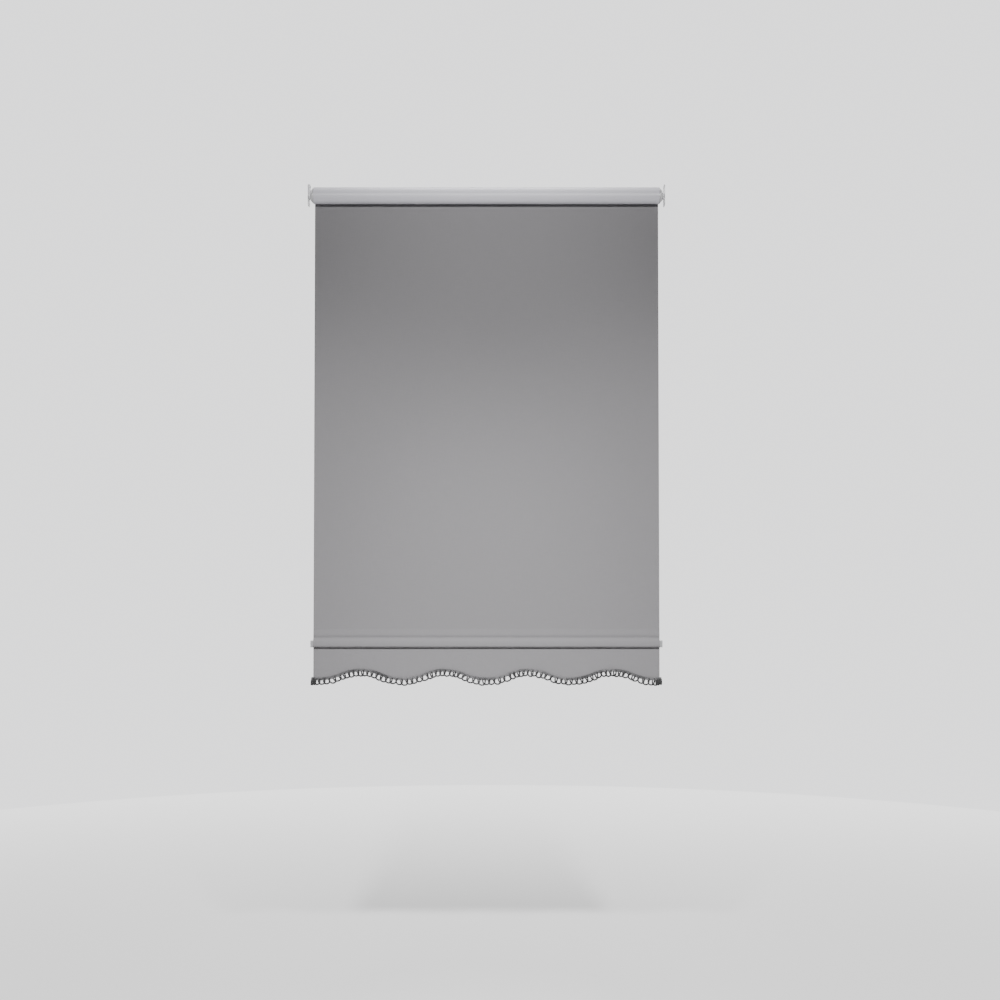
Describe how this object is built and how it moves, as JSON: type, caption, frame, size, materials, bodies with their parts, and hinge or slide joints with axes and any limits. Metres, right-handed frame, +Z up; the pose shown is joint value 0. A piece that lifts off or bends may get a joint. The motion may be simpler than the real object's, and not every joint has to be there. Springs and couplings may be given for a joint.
{
  "type": "roller blind",
  "caption": "Cordless spring roller blind with jamb brackets, ratchet-and-pawl roller, grey cloth, slat pocket, scalloped skirt and looped trim.",
  "frame": {"origin": "on the roller's axis, midway between the two jambs", "axes": "+X towards the right jamb seen from the room, -Y towards the room, +Z up"},
  "size_m": [0.914, 0.0435, 1.2828],
  "materials": {
    "bracket_coat": "white powder coat on pressed steel",
    "works_steel": "zinc-plated, satin",
    "spring_steel": "dark oil-tempered spring steel",
    "tube_steel": "galvanised",
    "end_plastic": "moulded, satin white",
    "inner_plastic": "moulded, natural nylon",
    "cap_plastic": "moulded, grey to match the cloth",
    "adhesive": "double-sided film",
    "blind_cloth": "plain weave, grey face with a pale coated back",
    "slat_wood": "planed softwood",
    "trim_braid": "braid with looped cord"
  },
  "bodies": {
    "root": {"slot_bracket": "bracket_coat", "pin_bracket": "bracket_coat", "spear_shaft": "works_steel", "retaining_ring": "spring_steel", "ratchet_hub": "works_steel", "spindle": "works_steel", "spring_anchor_collar": "works_steel", "anchor_pin": "works_steel", "torsion_spring": "spring_steel"},
    "roller": {"end_cover": "end_plastic", "pawl_housing": "inner_plastic", "upper_pawl_pin": "works_steel", "lower_pawl_pin": "works_steel", "spring_drive_plug": "inner_plastic", "spindle_bush": "inner_plastic", "roller_tube": "tube_steel", "adhesive_strip": "adhesive", "cloth_roll": "blind_cloth", "pin_end_plug": "end_plastic", "gudgeon_pin": "works_steel"},
    "upper_pawl": {"upper_pawl": "works_steel"},
    "lower_pawl": {"lower_pawl": "works_steel"},
    "hem": {"cloth_drop": "blind_cloth", "hem_pocket": "blind_cloth", "hem_slat": "slat_wood", "left_slat_cap": "cap_plastic", "right_slat_cap": "cap_plastic", "scalloped_skirt": "blind_cloth", "loop_trim": "trim_braid"}
  },
  "joints": [
    {"name": "roller_spin", "type": "hinge", "parent": "root", "child": "roller", "pos_m": [0, 0, 0], "axis": [1, 0, 0], "range_deg": [-1440, 2880], "deforming": ["torsion_spring"]},
    {"name": "upper_pawl_swing", "type": "hinge", "parent": "roller", "child": "upper_pawl", "pos_m": [-0.4403, 0, 0.0132], "axis": [1, 0, 0], "range_deg": [0, 22]},
    {"name": "lower_pawl_swing", "type": "hinge", "parent": "roller", "child": "lower_pawl", "pos_m": [-0.4403, 0, -0.0132], "axis": [1, 0, 0], "range_deg": [0, 22]},
    {"name": "hem_slide", "type": "slide", "parent": "root", "child": "hem", "axis": [0, 0, 1], "range_m": [-0.543, 1.086], "deforming": ["cloth_drop"]}
  ],
  "couplings": [
    {"joint": "hem_slide", "follows": "roller_spin", "m_per_rad": 0.0216}
  ]
}
